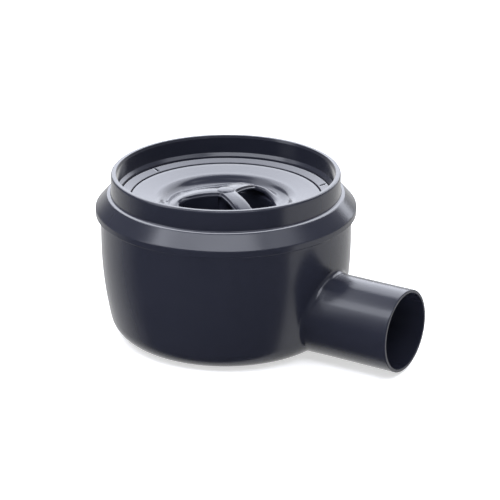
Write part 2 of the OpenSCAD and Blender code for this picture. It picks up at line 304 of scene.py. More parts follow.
class BowlShape:
    """The bowl's section: flat base, corner arc, long belly arc and upright wall, moved inward by an inset."""

    def __init__(self, s):
        self.corner_r, self.belly_r, self.belly_z, self.bowl_r = s.corner_r, s.belly_r, s.belly_z, s.bowl_r
        self.belly_x = s.bowl_r - s.belly_r
        rise, run = s.belly_z - s.corner_r, s.belly_r - s.corner_r
        self.corner_x = self.belly_x + math.sqrt(run**2 - rise**2)
        self.tangent = math.asin(rise / run)
        self.s1 = self.corner_x
        self.s2 = self.s1 + self.corner_r * (math.pi / 2 - self.tangent)
        self.s3 = self.s2 + self.belly_r * self.tangent

    def point(self, s, inset):
        """(r, z) at length s along the uninset section; on an arc the angle is kept and the radius shrinks."""
        corner = -math.pi / 2 + (s - self.s1) / self.corner_r
        belly = -self.tangent + (s - self.s2) / self.belly_r
        parts = [s < self.s1, s < self.s2, s < self.s3]
        r = np.select(
            parts,
            [
                s,
                self.corner_x + (self.corner_r - inset) * np.cos(corner),
                self.belly_x + (self.belly_r - inset) * np.cos(belly),
            ],
            self.bowl_r - inset,
        )
        z = np.select(
            parts,
            [
                np.full_like(s, inset),
                self.corner_r + (self.corner_r - inset) * np.sin(corner),
                self.belly_z + (self.belly_r - inset) * np.sin(belly),
            ],
            self.belly_z + s - self.s3,
        )
        return r, z

    def at_height(self, z, inset):
        """(r, s, angle of the normal) of the inset section at height z, above the flat base."""
        split = self.corner_r - (self.corner_r - inset) * math.sin(self.tangent)
        corner = np.arcsin(np.clip((z - self.corner_r) / (self.corner_r - inset), -1, 1))
        belly = np.arcsin(np.clip((z - self.belly_z) / (self.belly_r - inset), -1, 0))
        low, high = z < split, z > self.belly_z
        angle = np.select([low, high], [corner, 0 * z], belly)
        r = np.select(
            [low, high],
            [self.corner_x + (self.corner_r - inset) * np.cos(corner), self.bowl_r - inset + 0 * z],
            self.belly_x + (self.belly_r - inset) * np.cos(belly),
        )
        s = np.select(
            [low, high],
            [self.s1 + (corner + math.pi / 2) * self.corner_r, self.s3 + z - self.belly_z],
            self.s2 + (belly + self.tangent) * self.belly_r,
        )
        return r, s, angle


def bowl_surfaces(b):
    """Outer and inner bowl as grids of angle and length along the section, with a round hole for the spigot.

    Round the hole a ring of rows runs from a rectangle of the grid to the hole's edge. A ball of the fillet's
    radius rolls round the joint: it touches bowl and spigot, and the fillet is the arc between both touches.
    """
    shape = BowlShape(b)
    columns, half = 288, 22  # columns all round, and those left out on each side of the spigot
    angles = round_angles(columns) + np.pi / columns
    hole_columns = np.arange(-half, half) % columns
    edge_z = b.weld_z - 0.5  # where the rim's rounding starts
    low_s, high_s = 48.0, 126.0  # the left-out rectangle's ends along the section
    side = np.linspace(low_s, high_s, 45)
    low_rows = np.array([0.0, 16.0, 32.0, low_s])
    high_rows = np.linspace(high_s, shape.s3 + edge_z - b.belly_z, 8)

    side_angles = angles[hole_columns]
    side_angles = np.where(side_angles > np.pi, side_angles - 2 * np.pi, side_angles)
    a_left, a_right = side_angles[0], side_angles[-1]
    bottom = np.column_stack([side_angles, np.full(len(side_angles), low_s)])
    right = np.column_stack([np.full(len(side), a_right), side])
    top = np.column_stack([side_angles[::-1], np.full(len(side_angles), high_s)])
    left = np.column_stack([np.full(len(side), a_left), side[::-1]])
    frame_line = np.vstack([bottom[:-1], right[:-1], top[:-1], left[:-1]])
    mid_s = (low_s + high_s) / 2 + 1.5  # the spigot's middle along the section
    t = np.arctan2((frame_line[:, 1] - mid_s) / (high_s - low_s), frame_line[:, 0] / (2 * a_right))

    def edge(inset, radius, fillet):
        """The hole's edge on the inset bowl: where the rolling ball touches it, with the ball's middle."""
        y, z = (radius + fillet) * np.cos(t), b.spigot_z + (radius + fillet) * np.sin(t)
        r, _, normal = shape.at_height(z, inset - fillet)
        x = np.sqrt(r**2 - y**2)
        touch_z = z - fillet * np.sin(normal)
        _, s, _ = shape.at_height(touch_z, inset)
        return np.arctan2(y, x), s, np.column_stack([x, y, z])

    def on_bowl(a, s, inset):
        """Points of the inset bowl at angles a and lengths s."""
        r, z = shape.point(s, inset)
        return np.stack([r * np.cos(a), r * np.sin(a), z], -1)

    def patch(a, s, inset):
        """Grid of every angle a by every length s."""
        return quads(on_bowl(a[None], np.broadcast_to(s[:, None], (len(s), len(a))), inset))

    surfaces = []
    bore = b.spigot_r - b.spigot_wall
    ring_a = np.append(angles, angles[0] + 2 * np.pi)
    rest_a = angles[half - 1 : columns - half + 1]
    for inset, radius, fillet in ((0.0, b.spigot_root_r, b.spigot_fillet), (b.bowl_wall, bore, 0.0)):
        surfaces += [patch(ring_a, rows, inset) for rows in (low_rows, high_rows)]
        surfaces.append(patch(rest_a, side, inset))
        edge_a, edge_s, _ = edge(inset, radius, fillet)
        w = np.linspace(0, 1, 13)[:, None]
        a, s = frame_line[:, 0] * (1 - w) + edge_a * w, frame_line[:, 1] * (1 - w) + edge_s * w
        surfaces.append(quads(on_bowl(a, s, inset), close_columns=True))

    top = rounded(
        [
            (b.bowl_r, edge_z, 0),
            (b.bowl_r, b.weld_z, 0.5),
            (b.bowl_r - b.bowl_wall, b.weld_z, 0.3),
            (b.bowl_r - b.bowl_wall, edge_z, 0),
        ],
        closed=False,
    )
    surfaces.append(quads(turned(top, angles), close_columns=True))

    edge_a, edge_s, ball = edge(0.0, b.spigot_root_r, b.spigot_fillet)
    touch = on_bowl(edge_a, edge_s, 0.0)
    around = np.column_stack([0 * t, np.cos(t), np.sin(t)])
    first = (touch - ball) / b.spigot_fillet
    turn = np.arccos(np.clip((first * -around).sum(1), -1, 1))[None, :, None]
    w = np.linspace(0, 1, 9)[:, None, None]
    between = (np.sin((1 - w) * turn) * first - np.sin(w * turn) * around) / np.sin(turn)
    rows = [ball + b.spigot_fillet * between]

    def tube_row(x, radius):
        """One row round the spigot at x from the bowl's axis."""
        y, z = radius * np.cos(t), b.spigot_z + radius * np.sin(t)
        return np.column_stack([np.broadcast_to(x, t.shape), y, z])

    for k in np.linspace(0, 1, 6)[1:]:
        x = ball[:, 0] + (b.spigot_round - ball[:, 0]) * k
        rows.append(tube_row(x, b.spigot_root_r + (b.spigot_r - b.spigot_root_r) * k)[None])
    end = supported(
        rounded(
            [
                (b.spigot_round + 4, b.spigot_r, 0),
                (b.spigot_end, b.spigot_r, 0.6),
                (b.spigot_end, bore, 0.3),
                (b.spigot_round, bore, 0),
            ],
            closed=False,
        ),
        closed=False,
    )
    rows.append(np.stack([tube_row(x, radius) for x, radius in end]))
    _, _, inner = edge(b.bowl_wall, bore, 0.0)
    to_bowl = inner[:, 0] - b.spigot_round
    rows.append(np.stack([tube_row(b.spigot_round + to_bowl * k, bore) for k in (0.5, 1.0)]))
    surfaces.append(quads(np.concatenate(rows), close_columns=True))
    return surfaces


# ---------------------------------------------------------------- collar


def collar_line(b):
    """Section of the collar, flange and hollow under it, with each edge rounded as it was moulded."""
    wall = 2.5
    relief = 0.7  # the socket's foot stands back by this, which makes a broad cone under it
    tongue_w, tongue_h, fit = 1.7, 2.5, 0.2  # tongue that stands in the bowl for the weld
    slope_r = b.collar_r + b.land_w
    slope = math.atan2(b.flange_r - slope_r, b.land_z - b.flange_top)
    core_r = b.pocket_r + wall
    core_z = b.flange_top + b.flange_r / math.tan(slope) - wall / math.sin(slope)
    lip_r = b.bowl_r - b.bowl_wall - fit
    lip_in = lip_r - tongue_w
    return supported(
        rounded(
            [
                (lip_r, b.weld_z, 0.2),
                (b.flange_r, b.weld_z, 0.5),
                (b.flange_r, b.flange_top, 1.2),
                (slope_r, b.land_z, 1.2),
                (b.collar_r, b.land_z, 1.3),
                (b.collar_r, b.height, 1.4),
                (b.socket_r + 0.8, b.height, 0.3),
                (b.socket_r, b.height - 1.6, 0.5),
                (b.socket_r + relief, b.cone_z - 0.4, 0.4),
                (b.pocket_r, b.pocket_z, 0.5),
                (b.pocket_r, b.seat_z, 0.3),
                (b.seat_r, b.seat_z, 0.4),
                (b.seat_r, b.seat_z - wall, 0.4),
                (core_r, b.seat_z - wall, 0.4),
                (core_r, min(core_z - core_r / math.tan(slope), b.land_z - wall), 0.4),
                (lip_in, core_z - lip_in / math.tan(slope), 0.4),
                (lip_in, b.weld_z - tongue_h, 0.3),
                (lip_r, b.weld_z - tongue_h, 0.3),
            ]
        )
    )


# ---------------------------------------------------------------- trap cup


def cup_surfaces(c, seat_z):
    """Head ring with its groove and three sunk marks, the cup, and the three straps between them."""
    low, high = c.cup_seal_z - c.groove_h / 2, c.cup_seal_z + c.groove_h / 2
    middle = (c.head_r + c.nest_r) / 2
    nest_out = c.nest_r + 1.7  # outside of the nest's wall, under the head
    head = supported(
        rounded(
            [
                (c.head_r, seat_z, 0.3),
                (c.head_r, low, 0.15),
                (c.head_r - c.groove_depth, low, 0.15),
                (c.head_r - c.groove_depth, high, 0.15),
                (c.head_r, high, 0.15),
                (c.head_r, c.head_z, 0.5),
                (c.nest_r, c.nest_z, 0.5),
                (c.nest_r, c.shelf_z, 0.3),
                (c.shelf_r, c.shelf_z, 0.4),
                (c.shelf_r, c.shelf_z - c.wall, 0.4),
                (nest_out, c.shelf_z - c.wall, 0.4),
                (nest_out, seat_z, 0.3),
            ]
        ),
        longest=0.4,
    )
    mark_half = c.mark_w / 2 / middle  # half a mark's angle
    step = 2 * np.pi / 3
    # Columns crowd at a mark's walls, one half width off its middle, and are even between two marks.
    near = np.array([-1.35, -1.1, -1.0, -0.9, -0.45, 0, 0.45, 0.9, 1.0, 1.1, 1.35]) * mark_half
    rest = np.linspace(near[-1] + 0.02, step + near[0] - 0.02, 88)
    one = np.concatenate([near, rest])
    angles = math.radians(c.mark_angle) + np.concatenate([one, one + step, one + 2 * step])
    grid = turned(head, angles)
    # A mark is sunk in full inside its walls and not at all a little outside them, across and along.
    off = np.abs((angles - math.radians(c.mark_angle) + step / 2) % step - step / 2) / mark_half
    r = head[:, 0]
    across = np.clip((1.12 - off) / 0.24, 0, 1)
    along = np.clip((c.mark_l / 2 + 0.1 - np.abs(r - middle)) / 0.2, 0, 1)
    edge = 0.45
    top = (head[:, 1] > c.nest_z - 0.3) * (r > c.nest_r + edge) * (r < c.head_r - edge)
    grid[..., 2] -= c.mark_depth * (along * top)[:, None] * across[None]
    surfaces = [quads(grid, close_rows=True, close_columns=True)]

    out, t = c.cup_r - 1.0, c.wall  # the rim stands out 1 mm from the cup's wall
    cup = supported(
        rounded(
            [
                (0, c.cup_base, 0),
                (out, c.cup_base, c.cup_corner),
                (out, c.cup_top - 4.0, 0.6),
                (c.cup_r, c.cup_top - 3.0, 0.4),
                (c.cup_r, c.cup_top, 0.5),
                (out - t, c.cup_top, 0.5),
                (out - t, c.cup_base + t, c.cup_corner - t),
                (0, c.cup_base + t, 0),
            ],
            closed=False,
        ),
        closed=False,
    )
    surfaces.append(quads(turned(cup, round_angles(192)), close_columns=True))

    top_r, low_r = (c.nest_r + c.shelf_r) / 2, c.cup_r - 0.5
    top_z, low_z = c.shelf_z - t / 2, c.cup_top - 1.5
    strap = supported(
        rounded(
            [
                (low_r - t, low_z, 0.3),
                (low_r, low_z - t, 0.6),
                (top_r + t / 2, top_z - t, 0.6),
                (top_r + t / 2, top_z, 0.3),
                (top_r - t, top_z, 0.6),
            ]
        )
    )
    spread = math.radians(c.strap_angle) / 2
    inner = strap.mean(0) + (strap - strap.mean(0)) * 0.8
    for k in range(3):
        a = math.radians(c.mark_angle) + k * step + np.linspace(-spread, spread, 25)
        body = turned(strap, a)
        surfaces.append(quads(body, close_rows=True))
        for e in (0, -1):  # each end is filled in with a smaller copy and the middle point
            end = np.stack([turned(line, a[[e]])[:, 0] for line in (strap, inner, strap.mean(0) + 0 * strap)])
            surfaces.append(quads(end, close_columns=True))
    return surfaces


# ---------------------------------------------------------------- funnel and grip


SHEET_R = 40.0  # radius at which the grip's sheet ends on the dish
SHEET_DIP = 0.5  # how far the dish's own surface lies under that sheet
FAN = (8.0, 24.0)  # distances from an arm's middle between which the crest sinks into the dish
LIP_STEP = (0.6, 1.4)  # distances from an opening between which the small step rises


def dish_height(c, r):
    """Top of the dish at radius r: flat trough, an arc up, an arc over to the shoulder."""
    low = c.trough_z + c.roll_r - np.sqrt(np.maximum(c.roll_r**2 - np.maximum(r - c.trough_r, 0) ** 2, 0))
    high = c.shoulder_z - c.roll_r + np.sqrt(np.maximum(c.roll_r**2 - (c.shoulder_r - r) ** 2, 0))
    return np.where(r < (c.trough_r + c.shoulder_r) / 2, low, high)


def dish_line(c):
    """Closed section of skirt, groove, dish and dip tube, which inside SHEET_R lies just under the sheet."""
    t, a = c.wall, c.dish_angle
    skirt = c.groove_depth + t
    low, high = c.funnel_seal_z - c.groove_h / 2, c.funnel_seal_z + c.groove_h / 2
    outside = rounded(
        [
            (c.rim_r - skirt, c.shelf_z, 0.4),
            (c.rim_r, c.shelf_z, 0.3),
            (c.rim_r, low, 0.15),
            (c.rim_r - c.groove_depth, low, 0.15),
            (c.rim_r - c.groove_depth, high, 0.15),
            (c.rim_r, high, 0.15),
            (c.rim_r, c.rim_z, 0.5),
            (c.shoulder_r, c.shoulder_z, 0),
        ]
    )[:-1]
    outside = supported(outside, closed=False)
    shoulder = np.linspace(outside[-1], (c.shoulder_r, c.shoulder_z), 6)[1:-1]
    over = np.linspace(c.shoulder_r, SHEET_R, 9)
    under_sheet = np.linspace(SHEET_R - 0.2, c.trough_r - 0.5, 12)
    upper = np.vstack(
        [
            outside,
            shoulder,
            np.column_stack([over, dish_height(c, over)]),
            np.column_stack([under_sheet, dish_height(c, under_sheet) - SHEET_DIP]),
        ]
    )
    tube = supported(
        rounded(
            [
                (c.tube_r + 0.4, c.trough_z - c.mouth + 0.4, 0),
                (c.tube_r, c.trough_z - c.mouth, 0),
                (c.tube_r - c.tube_draft, c.tube_end, 0.5),
                (c.tube_r - c.tube_draft + t, c.tube_end, 0.5),
                (c.tube_r + t, c.trough_z - t, 1.0),
                (c.trough_r, c.trough_z - t, 0),
            ],
            closed=False,
        ),
        closed=False,
    )
    under = np.vstack(
        [
            arc(c.trough_r, c.trough_z + c.roll_r, c.roll_r + t, -90, a - 90, 10)[1:],
            arc(c.shoulder_r, c.shoulder_z - c.roll_r, c.roll_r - t, 90 + a, 90, 10),
            supported(
                rounded(
                    [
                        (c.shoulder_r, c.shoulder_z - t, 0),
                        (c.rim_r - skirt, c.rim_z - t, 1.0),
                        (c.rim_r - skirt, c.shelf_z + 0.5, 0),
                    ],
                    closed=False,
                ),
                closed=False,
            )[1:],
        ]
    )
    return np.vstack([upper, tube, under])


def opening_wall(c, steps=216):
    """Upright wall of one opening between two arms, with the opening's middle along x.

    Its sides are straight beside the arms and the dip tube's bore bounds it outside. Its corners are rounded by
    growing back a smaller copy of that sector. The points are spread evenly along it.
    """
    rnd, arm, far = c.opening_round, c.arm_r, c.tube_r
    outer = far - rnd
    side = arm + rnd
    tip = side / math.sin(math.radians(60))
    reach = math.sqrt(outer**2 - side**2)
    end = math.degrees(math.atan2(side, reach))
    low, high = -60 + end, 60 - end

    def corner(a, start, stop):
        """Rounded corner at the bore, whose middle lies at angle a."""
        return arc(outer * math.cos(math.radians(a)), outer * math.sin(math.radians(a)), rnd, start, stop, 16)

    bore, at_hub = arc(0, 0, far, low, high, 40)[1:-1], arc(tip, 0, rnd, 150, 210, 12)
    line = np.vstack([corner(low, -150, low), bore, corner(high, high, 150), at_hub])
    line = np.vstack([line, line[:1]])
    length = np.concatenate([[0], np.cumsum(np.linalg.norm(np.diff(line, axis=0), axis=1))])
    at = np.linspace(0, length[-1], steps, endpoint=False)
    return np.column_stack([np.interp(at, length, line[:, 0]), np.interp(at, length, line[:, 1])])


def smooth_step(x, start, stop):
    """0 before start, 1 after stop and 3t^2 - 2t^3 between them."""
    t = np.clip((x - start) / (stop - start), 0, 1)
    return t * t * (3 - 2 * t)


def smooth_max(a, b, width):
    """The larger of two heights, with the corner between them filled by a parabola of this width."""
    gap = np.clip(0.5 + (a - b) / (2 * width), 0, 1)
    return b + (a - b) * gap + width * gap * (1 - gap)


def crest_height(c, r):
    """The crest's line: nearly level at the hub and steeper to the dish, where it drops with the power 2.6."""
    return c.crest_z - (c.crest_z - c.trough_z) * (r / c.crest_end) ** 2.6


def grip_height(c, x, y, inset, at_tube):
    """Top of the sheet in one sector, whose two arms lie 60 degrees either side of its own direction.

    Beside an arm it keeps to the crest's line, and further from the arm's middle it sinks into the dish. Near
    the opening, whose wall is inset away, it falls by a slight crown and then a small step to the lip, but not
    where at_tube is 1, at the mouth of the dip tube. The hub is a low dome with a steep edge on top of it all.
    """
    r = np.hypot(x, y)
    across = r * np.sin(np.maximum(math.radians(60) - np.abs(np.arctan2(y, x)), 0))
    dish = dish_height(c, r)
    fan = 1 - smooth_step(across, *FAN)
    crest = dish + (smooth_max(crest_height(c, r), dish, 0.8) - dish) * fan
    crown, lip = 1 - smooth_step(inset, 0, c.crown_w), 1 - smooth_step(inset, *LIP_STEP)
    edge = c.crown_drop * crown + c.lip_drop * lip
    dome_r, edge_drop = 4 * c.hub_r, 2.0
    hub = c.crest_z + c.hub_rise - r**2 / (2 * dome_r)
    hub -= edge_drop * smooth_step(r, c.hub_r - 0.6, c.hub_r + 0.3)
    return smooth_max(crest - edge * (1 - at_tube), hub, 0.35)


def grip_surfaces(c):
    """Three sectors, each a ring of rows from the wall of its opening out to the sector's boundary.

    From the wall the sheet rolls up to its top over a radius that grows from lip_r at an arm to the mouth's at
    the dip tube, and runs out to the boundary: the two arms' middles and an arc of SHEET_R. The underside runs
    out from the wall in the same way, one web lower. Three turned copies and the stem make the grip.
    """
    lip_r, mouth_start = 0.5, 22.0
    roll_steps, fine, coarse = 10, 14, 15  # rows over the roll, next to the wall and out to the boundary
    wall = opening_wall(c)
    tangent = np.roll(wall, -1, 0) - np.roll(wall, 1, 0)
    tangent /= np.linalg.norm(tangent, axis=1)[:, None]
    outward = np.column_stack([tangent[:, 1], -tangent[:, 0]])
    at_tube = smooth_step(np.hypot(*wall.T), mouth_start, c.tube_r - 0.2)
    roll = (lip_r + (c.mouth - lip_r) * at_tube)[:, None]
    start = wall + outward * roll
    corners = SHEET_R * np.array([[0.5, -math.sqrt(0.75)], [0.5, math.sqrt(0.75)]])  # at 60 degrees each side
    first, second, hub = (int(np.argmin(np.linalg.norm(start - p, axis=1))) for p in (*corners, np.zeros(2)))
    at = np.arange(len(wall))
    at = np.where(at < first, at + len(wall), at)
    far = SHEET_R * np.interp(at, [first, second, hub, first + len(wall)], [1, 1, 0, 1])
    turn = np.radians(np.where(at < hub, np.interp(at, [first, second], [-60, 60]), -60))
    bound = far[:, None] * np.column_stack([np.cos(turn), np.sin(turn)])

    a = np.radians(np.linspace(0, 90, roll_steps))[:, None]
    k = np.concatenate([np.linspace(0, 0.34, fine)[1:], np.linspace(0.34, 1, coarse)[1:]])[:, None, None]
    plans = np.concatenate([wall + outward * roll * (1 - np.cos(a[..., None])), start + (bound - start) * k])
    drops = np.concatenate([roll[:, 0] * (1 - np.sin(a)), np.zeros((len(k), len(wall)))])
    x, y = np.moveaxis(plans, -1, 0)
    inset = np.linalg.norm(plans - wall, axis=-1)
    top = np.stack([x, y, grip_height(c, x, y, inset, at_tube) - drops], -1)

    lip_t, bevel, under_w = 0.5, 0.25, 2.4  # the lip's depth and, under it, a bevelled ledge of this width
    below = np.array([0.0, 0.3, 1.2, under_w])[:, None]
    x, y = np.moveaxis(wall + outward * below[..., None], -1, 0)
    inner = np.stack([x, y, np.broadcast_to(top[0, :, 2] - lip_t, x.shape) - bevel * (below > 0)], -1)
    inside, k = wall + outward * under_w, np.array([0.3, 0.6, 0.9, 1.0])[:, None, None]
    x, y = np.moveaxis(inside + (bound - inside) * k, -1, 0)
    far = np.stack([x, y, grip_height(c, x, y, np.full_like(x, 2 * c.crown_w), at_tube) - c.web_t], -1)
    sheet = np.concatenate([top[::-1], inner, far])
    surfaces = []
    for k in range(3):
        a = math.radians(c.arm_angle - 60 + 120 * k)
        m = np.array([[math.cos(a), math.sin(a), 0], [-math.sin(a), math.cos(a), 0], [0, 0, 1]])
        surfaces.append(quads(sheet @ m, close_columns=True))
    under_hub = c.crest_z - c.web_t
    stem = supported(
        rounded(
            [
                (c.stem_bore, under_hub - 2.0, 0.3),
                (c.stem_bore, c.tube_end, 0.4),
                (c.stem_r, c.tube_end, 0.4),
                (c.stem_r, under_hub - 0.5, 0.3),
            ]
        )
    )
    surfaces.append(ring(stem, 96))
    return surfaces


# ---------------------------------------------------------------- materials


MIX_A, MIX_B, MIX_RESULT = 6, 7, 2  # a Mix node's colour sockets
PLASTIC_GLOSS = 0.2  # roughness that the tool's polish gives


def linear(code):
    """sRGB hex to linear RGBA."""
    c = np.array([int(code[i : i + 2], 16) for i in (1, 3, 5)]) / 255
    c = np.where(c <= 0.04045, c / 12.92, ((c + 0.055) / 1.055) ** 2.4)
    return (*c.tolist(), 1.0)


def node(tree, kind, links=None, **settings):
    """Adds one node, sets its properties and sockets, and links its inputs."""
    n = tree.nodes.new(kind)
    for key, value in settings.items():
        if hasattr(n, key) and key not in n.inputs:
            setattr(n, key, value)
        else:
            n.inputs[key].default_value = value
    for key, source in (links or {}).items():
        tree.links.new(source, n.inputs[key])
    return n


def new_material(name):
    """An empty node material."""
    m = bpy.data.materials.new(name)
    m.use_nodes = True
    m.node_tree.nodes.clear()
    return m


def moulded_plastic(name, code, roughness):
    """Injection-moulded polypropylene with carbon black.

    It has IOR 1.49, an even satin gloss, a faint moulded orange peel about 2 mm across (scale 500 to the metre)
    and slightly duller and lighter clouds about 25 mm across (scale 40), where the tool's polish varies.
    """
    m = new_material(name)
    t = m.node_tree
    place = node(t, "ShaderNodeTexCoord").outputs["Object"]
    cloud = node(t, "ShaderNodeTexNoise", {"Vector": place}, Scale=40.0, Detail=2.0, Roughness=0.5)
    gloss = node(
        t,
        "ShaderNodeMapRange",
        {"Value": cloud.outputs["Fac"]},
        **{"From Min": 0.3, "From Max": 0.7, "To Min": roughness - 0.02, "To Max": roughness + 0.03},
    )
    peel = node(t, "ShaderNodeTexNoise", {"Vector": place}, Scale=500.0, Detail=1.0, Roughness=0.4)
    bump = node(t, "ShaderNodeBump", {"Height": peel.outputs["Fac"]}, Strength=0.06, Distance=0.00012)
    tint = node(t, "ShaderNodeMix", {"Factor": cloud.outputs["Fac"]}, data_type="RGBA")
    for socket, scale in ((MIX_A, 0.93), (MIX_B, 1.07)):
        tint.inputs[socket].default_value = tuple(v * scale for v in linear(code)[:3]) + (1.0,)
    colour = tint.outputs[MIX_RESULT]
    shader = node(
        t,
        "ShaderNodeBsdfPrincipled",
        {"Base Color": colour, "Roughness": gloss.outputs["Result"], "Normal": bump.outputs["Normal"]},
        IOR=1.49,
    )
    node(t, "ShaderNodeOutputMaterial", {"Surface": shader.outputs["BSDF"]})
    return m


def seal_rubber(name, code):
    """Black EPDM ring, pressed in a mould: IOR 1.52, dull, with a fine bloom about 3 mm across (scale 330)."""
    m = new_material(name)
    t = m.node_tree
    place = node(t, "ShaderNodeTexCoord").outputs["Object"]
    bloom = node(t, "ShaderNodeTexNoise", {"Vector": place}, Scale=330.0, Detail=3.0)
    gloss = node(
        t,
        "ShaderNodeMapRange",
        {"Value": bloom.outputs["Fac"]},
        **{"From Min": 0.3, "From Max": 0.7, "To Min": 0.5, "To Max": 0.65},
    )
    shader = node(
        t,
        "ShaderNodeBsdfPrincipled",
        {"Roughness": gloss.outputs["Result"]},
        **{"Base Color": linear(code), "IOR": 1.52},
    )
    node(t, "ShaderNodeOutputMaterial", {"Surface": shader.outputs["BSDF"]})
    return m


def finish(kind):
    """The material of this kind, made once."""
    f = bpy.context.scene.gully_finish
    name = {
        "body": "polypropylene_body_moulded",
        "trap": "polypropylene_trap_moulded",
        "rubber": "epdm_rubber_pressed",
    }[kind]
    made = bpy.data.materials.get(name)
    if made:
        return made
    if kind == "rubber":
        return seal_rubber(name, f.rubber)
    return moulded_plastic(name, getattr(f, kind), PLASTIC_GLOSS)


# ---------------------------------------------------------------- operators


class GULLY_OT_bowl(bpy.types.Operator):
    """Draw the bowl with its outlet spigot."""

    bl_idname = "gully.bowl"
    bl_label = "Bowl and spigot"

    def execute(self, context):
        surfaces = bowl_surfaces(body_sizes())
        add_piece("bowl_shell", surfaces, "drain_body", finish("body"), ["bowl"])
        return {"FINISHED"}


class GULLY_OT_collar(bpy.types.Operator):
    """Draw the collar with its flange and socket."""

    bl_idname = "gully.collar"
    bl_label = "Collar and flange"

    def execute(self, context):
        surfaces = [ring(collar_line(body_sizes()))]
        shell = add_piece("collar_shell", surfaces, "drain_body", finish("body"), ["collar"])
        # The lamps reach the trap through the collar, so that its dish is lit evenly.
        shell.visible_glossy = False
        shell.visible_shadow = False
        return {"FINISHED"}


class GULLY_OT_cup(bpy.types.Operator):
    """Draw the trap's outer part: head ring, straps and cup."""

    bl_idname = "gully.cup"
    bl_label = "Trap cup"

    def execute(self, context):
        surfaces = cup_surfaces(trap_sizes(), body_sizes().seat_z)
        add_piece("trap_cup_shell", surfaces, "cup_part", finish("trap"), ["trap_cup"])
        return {"FINISHED"}


class GULLY_OT_funnel(bpy.types.Operator):
    """Draw the trap's inner part: dish, dip tube, grip and stem."""

    bl_idname = "gully.funnel"
    bl_label = "Funnel and grip"

    def execute(self, context):
        c, plastic = trap_sizes(), finish("trap")
        add_piece("funnel_dish", [ring(dish_line(c))], "funnel_part", plastic, ["funnel"])
        add_piece("funnel_grip", grip_surfaces(c), "funnel_part", plastic)
        return {"FINISHED"}


class GULLY_OT_seals(bpy.types.Operator):
    """Draw the two rubber seal rings."""

    bl_idname = "gully.seals"
    bl_label = "Seal rings"

    def execute(self, context):
        b, c = body_sizes(), trap_sizes()
        for name, bore, z, body, part in (
            ("cup_seal_ring", b.pocket_r, c.cup_seal_z, "cup_part", "cup_seal"),
            ("funnel_seal_ring", c.nest_r, c.funnel_seal_z, "funnel_part", "funnel_seal"),
        ):
            line = arc(bore - c.seal_gap - c.seal_t / 2, z, c.seal_t / 2, 0, 345, 23)
            add_piece(name, [ring(line, 192)], body, finish("rubber"), [part])
        return {"FINISHED"}


# ---------------------------------------------------------------- stage


# Name, turn from the outlet and rise in degrees, distance and size in metres, and brightness, where 1 is white.
SOFTBOXES = (
    ("softbox_behind", 114.0, 34.0, 1.3, (2.1, 1.2), 3.8),
    ("softbox_front", -80.0, 62.0, 1.2, (1.7, 0.42), 4.8),
    ("softbox_left", 232.0, 30.0, 1.2, (0.4, 0.7), 2.3),
    ("softbox_high", 185.0, 55.0, 1.2, (0.8, 0.5), 2.8),
    ("softbox_right", 12.0, 54.0, 1.2, (0.6, 0.4), 2.2),
)
LAMP_TINT = (0.88, 0.91, 1.0)
LAMP_AIM = Vector((0.0, 0.0, 0.07))
# The room's brightness low down, by turn from the outlet in degrees: white walls behind, dark in front.
ROOM_LOW = (
    (-180.0, 0.75),
    (-145.0, 0.03),
    (0.0, 0.03),
    (4.0, 1.1),
    (60.0, 0.9),
    (150.0, 0.9),
    (180.0, 0.75),
)
ROOM_HIGH = 0.25  # its brightness overhead
ROOM_BLEND = (-0.05, 0.25)  # sines of the rises between which low turns to high
FLOOR_HALF = 3.0  # half the floor's side, in metres
FLOOR_GAP = 0.0004  # the floor lies this far under the base, so that the two never flicker
FLOOR_GLOW = 0.6  # added where the camera sees the floor, so that it looks white
CAMERA_LENS, CAMERA_SENSOR = 168.49, 36.0
CAMERA_PLACE = Vector((0.7163, -1.1143, 0.5790))
CAMERA_WAY = Vector((-0.4937, 0.7868, -0.3704))


def camera_switch(tree, seen, otherwise, kind):
    """One shader where the camera looks straight at it and another for all other rays."""
    path = node(tree, "ShaderNodeLightPath")
    mix = node(tree, "ShaderNodeMixShader")
    tree.links.new(path.outputs["Is Camera Ray"], mix.inputs[0])
    tree.links.new(otherwise.outputs[0], mix.inputs[1])
    tree.links.new(seen.outputs[0], mix.inputs[2])
    node(tree, kind, {"Surface": mix.outputs[0]})


def floor_paint(code):
    """Matt studio paint. It glows a little for the camera alone and keeps the object's shadow."""
    m = new_material("studio_floor_matt_paint")
    t = m.node_tree
    diffuse = node(t, "ShaderNodeBsdfDiffuse", Color=linear(code))
    glow = node(t, "ShaderNodeEmission", Color=(1, 1, 1, 1), Strength=FLOOR_GLOW)
    both = node(t, "ShaderNodeAddShader")
    t.links.new(diffuse.outputs[0], both.inputs[0])
    t.links.new(glow.outputs[0], both.inputs[1])
    camera_switch(t, both, diffuse, "ShaderNodeOutputMaterial")
    return m


